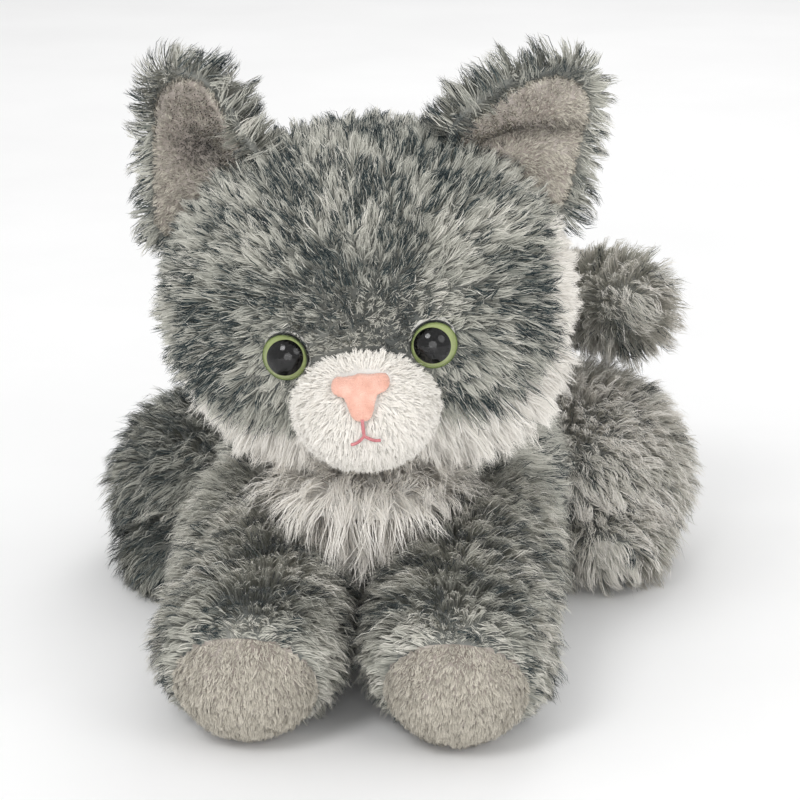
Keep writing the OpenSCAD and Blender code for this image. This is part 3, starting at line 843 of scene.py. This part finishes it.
torso = skin("torso_skin", "torso", ["left_side_panel", "right_side_panel", "belly_panel", "chest_bib"],
             ["torso_stuffing", "chest_stuffing"], 2.4, 6, [TABBY_BACKING, WHITE_BACKING])
CHEST_AT, CHEST_SIZE = np.array([-3, -38, 44.0]), np.array([27, 23, 20.0])
TORSO_AT, TORSO_SIZE = np.array([0, 15, 36.0]), np.array([44, 70, 38.5])


def bib(p, n=None, rng=None):
    """The white of the chest, which hangs below the chin."""
    edge = 0 if rng is None else rng.normal(size=len(p)) * 1.5
    return (p[:, 1] + edge < -38) & (np.abs(p[:, 0] + 3) + edge < 26)


paint(torso, bib(face_middles(torso)))
puffed(torso, lambda p: np.minimum(np.abs(p[:, 0]), np.abs(p[:, 2] - 14)))


def torso_comb(p, n):
    v = np.tile([0.0, 1.0, -0.45], (len(p), 1))
    v[:, 0] = np.sign(p[:, 0]) * 0.3
    return np.where(bib(p)[:, None], [0, -0.5, -1.0], v)


def torso_keep(p, n):
    """The torso's outside, but not under the head or on the flat belly."""
    on_torso = shell(p, TORSO_AT, TORSO_SIZE) > 0.88
    on_chest = (shell(p, CHEST_AT, CHEST_SIZE) > 0.8) & (p[:, 1] < -36)
    off_head = shell(to_head(p), 0, HEAD_SIZE) > 1.12
    return (on_torso | on_chest) & off_head & ((n[:, 2] > -0.75) | (p[:, 2] > 8)) & (p[:, 2] > 2.5)


def torso_length(p, n):
    return np.where(bib(p), 13.0 + 4 * np.exp(-((p[:, 0] + 3) / 10) ** 2), 9.5)


grow("torso_fur", "torso", torso, 3.2, torso_comb, torso_length,
     tabby(lambda p, n: marble(p, 41) + 0.10 * np.sin(p[:, 1] / 4.2), white=bib), torso_keep, 4, lean=0.9)

# ---------- legs ----------

def pad(p, n=None):
    """In front of the seam round the short pile of the paw."""
    return pad_edge(p) < 0


def leg_length(p, n):
    return 3.4 + 5 * np.clip(pad_edge(p) / 12, 0, 1)


for side, word in SIDES:
    body = f"{word}_foreleg"
    leg = skin(f"{body}_skin", body, [f"{body}_cover", f"{word}_paw_pad"], [f"{body}_stuffing"], 2.2, 8,
               [TABBY_BACKING, BEIGE_BACKING])
    paint(leg, pad(face_middles(leg)))
    puffed(leg, lambda p: np.abs(pad_edge(p)))

    def leg_comb(p, n, side=side):
        """Outward from the leg's ridge and down its sides, and back from the pad's seam."""
        across = (p[:, 0] - SHOULDER[side][0] + side * 5) / 18
        v = np.stack([across, np.full(len(p), -0.4), -0.25 - 0.4 * np.abs(across)], 1)
        v[:, 1] += 0.9 * np.clip(1 - pad_edge(p) / 8, 0, 1)
        return v

    grow(f"{body}_fur", body, leg, 4.2, leg_comb, leg_length, tabby(leg_dark(side, 60 + side), 0.77),
         lambda p, n: ~pad(p) & ((n[:, 2] > -0.8) | (p[:, 2] > 6)), 60 + side)
    grow(f"{word}_paw_pile", body, leg, 8.0, lambda p, n: np.tile([0, -0.3, -1.0], (len(p), 1)),
         lambda p, n: np.full(len(p), 2.1), short_tones(0.62, 0.98),
         lambda p, n: pad(p) & (p[:, 2] > 1.5), 64 + side, lift=0.8, width=0.22, clump=1.6, pull=0.4,
         palette=SHORT, spread=0.2)

    body = f"{word}_hind_leg"
    hind = skin(f"{body}_skin", body, [f"{word}_hind_outer_panel", f"{word}_hind_inner_panel"],
                [f"{word}_hind_stuffing"], 2.4, 10, [TABBY_BACKING])
    puffed(hind, lambda p, side=side: np.abs(p[:, 0] - 54 * side))

    def hind_comb(p, n, side=side):
        v = unit(p - (HIP[side] + np.array([-12 * side, 4, 14])))
        return v + np.array([side * 0.25, -0.35, -0.35])

    darker, pale = {LEFT: (0.20, 0.66), RIGHT: (-0.22, 0.91)}[side]
    grow(f"{body}_fur", body, hind, 3.6, hind_comb, lambda p, n: np.full(len(p), 9.5),
         tabby(lambda p, n, d=darker: marble(p, 71) + d, pale),
         lambda p, n: ((n[:, 2] > -0.8) | (p[:, 2] > 6)) & (p[:, 2] > 1.0), 70 + side)

# ---------- tail ----------

tail = skin("tail_skin", "tail", ["tail_cover"], ["tail_stuffing"], 1.8, 8, [TABBY_BACKING])
puffed(tail, lambda p: np.where(p[:, 0] < 12, 0, 9))
TAIL_LINE = tail_point(np.linspace(0, 1, 41))
TAIL_WAY = unit(np.gradient(TAIL_LINE, axis=0))


def tail_comb(p, n):
    near = nearest(p, TAIL_LINE)
    return TAIL_WAY[near]


grow("tail_fur", "tail", tail, 3.8, tail_comb, lambda p, n: 7.5 + 3 * np.clip((p[:, 0] - 50) / 16, 0, 1),
     tabby(lambda p, n: marble(p, 81) - 0.20 + 0.12 * np.sin(nearest(p, TAIL_LINE) / 2.1), 0.89),
     lambda p, n: shell(p, TORSO_AT, TORSO_SIZE - 1.5) > 1, 8)

# ---------- neck ----------

neck = skin("neck_core", "neck", ["neck_stuffing"], [], 2.0, 2, [INNER["stuffing"]])

# ---------- floor, light and camera ----------

bpy.ops.mesh.primitive_plane_add(size=6)
floor = bpy.context.object
floor.name = "floor"
floor.data.materials.append(mottled("floor_paper", [(246, 246, 246), (250, 250, 250)], 8, 0.02, 300))

world = bpy.data.worlds.new("soft_white")
bpy.context.scene.world = world
world.use_nodes = True
world.node_tree.nodes["Background"].inputs["Color"].default_value = (1, 1, 1, 1)
world.node_tree.nodes["Background"].inputs["Strength"].default_value = 0.74
bpy.context.scene.view_settings.view_transform = "Standard"


def area(name, at, size, power):
    light = bpy.data.lights.new(name, "AREA")
    light.shape, light.size, light.energy = "DISK", size, power
    obj = bpy.data.objects.new(name, light)
    bpy.context.scene.collection.objects.link(obj)
    obj.location = at
    obj.rotation_euler = (Vector((0, 0, 0.07)) - Vector(at)).to_track_quat("-Z", "Y").to_euler()


area("key", (-0.4, -0.8, 1.0), 0.5, 4.4)
area("front", (0.1, -1.1, 0.22), 0.7, 3)
area("fill", (0.9, -0.7, 0.7), 0.7, 2.2)
area("rim", (0.2, 1.0, 1.0), 0.8, 3.4)

camera = bpy.data.objects.new("camera", bpy.data.cameras.new("camera"))
bpy.context.scene.collection.objects.link(camera)
bpy.context.scene.camera = camera
azimuth, elevation, distance = math.radians(4), math.radians(17), 0.7
target = Vector((0.0045, -0.020, 0.0705))
backward = Vector((math.sin(azimuth) * math.cos(elevation), -math.cos(azimuth) * math.cos(elevation),
                   math.sin(elevation)))
camera.location = target + backward * distance
camera.rotation_euler = (-backward).to_track_quat("-Z", "Y").to_euler()
camera.data.lens, camera.data.sensor_width = 116.7, 36
camera.data.clip_start, camera.data.clip_end = 0.01, 20
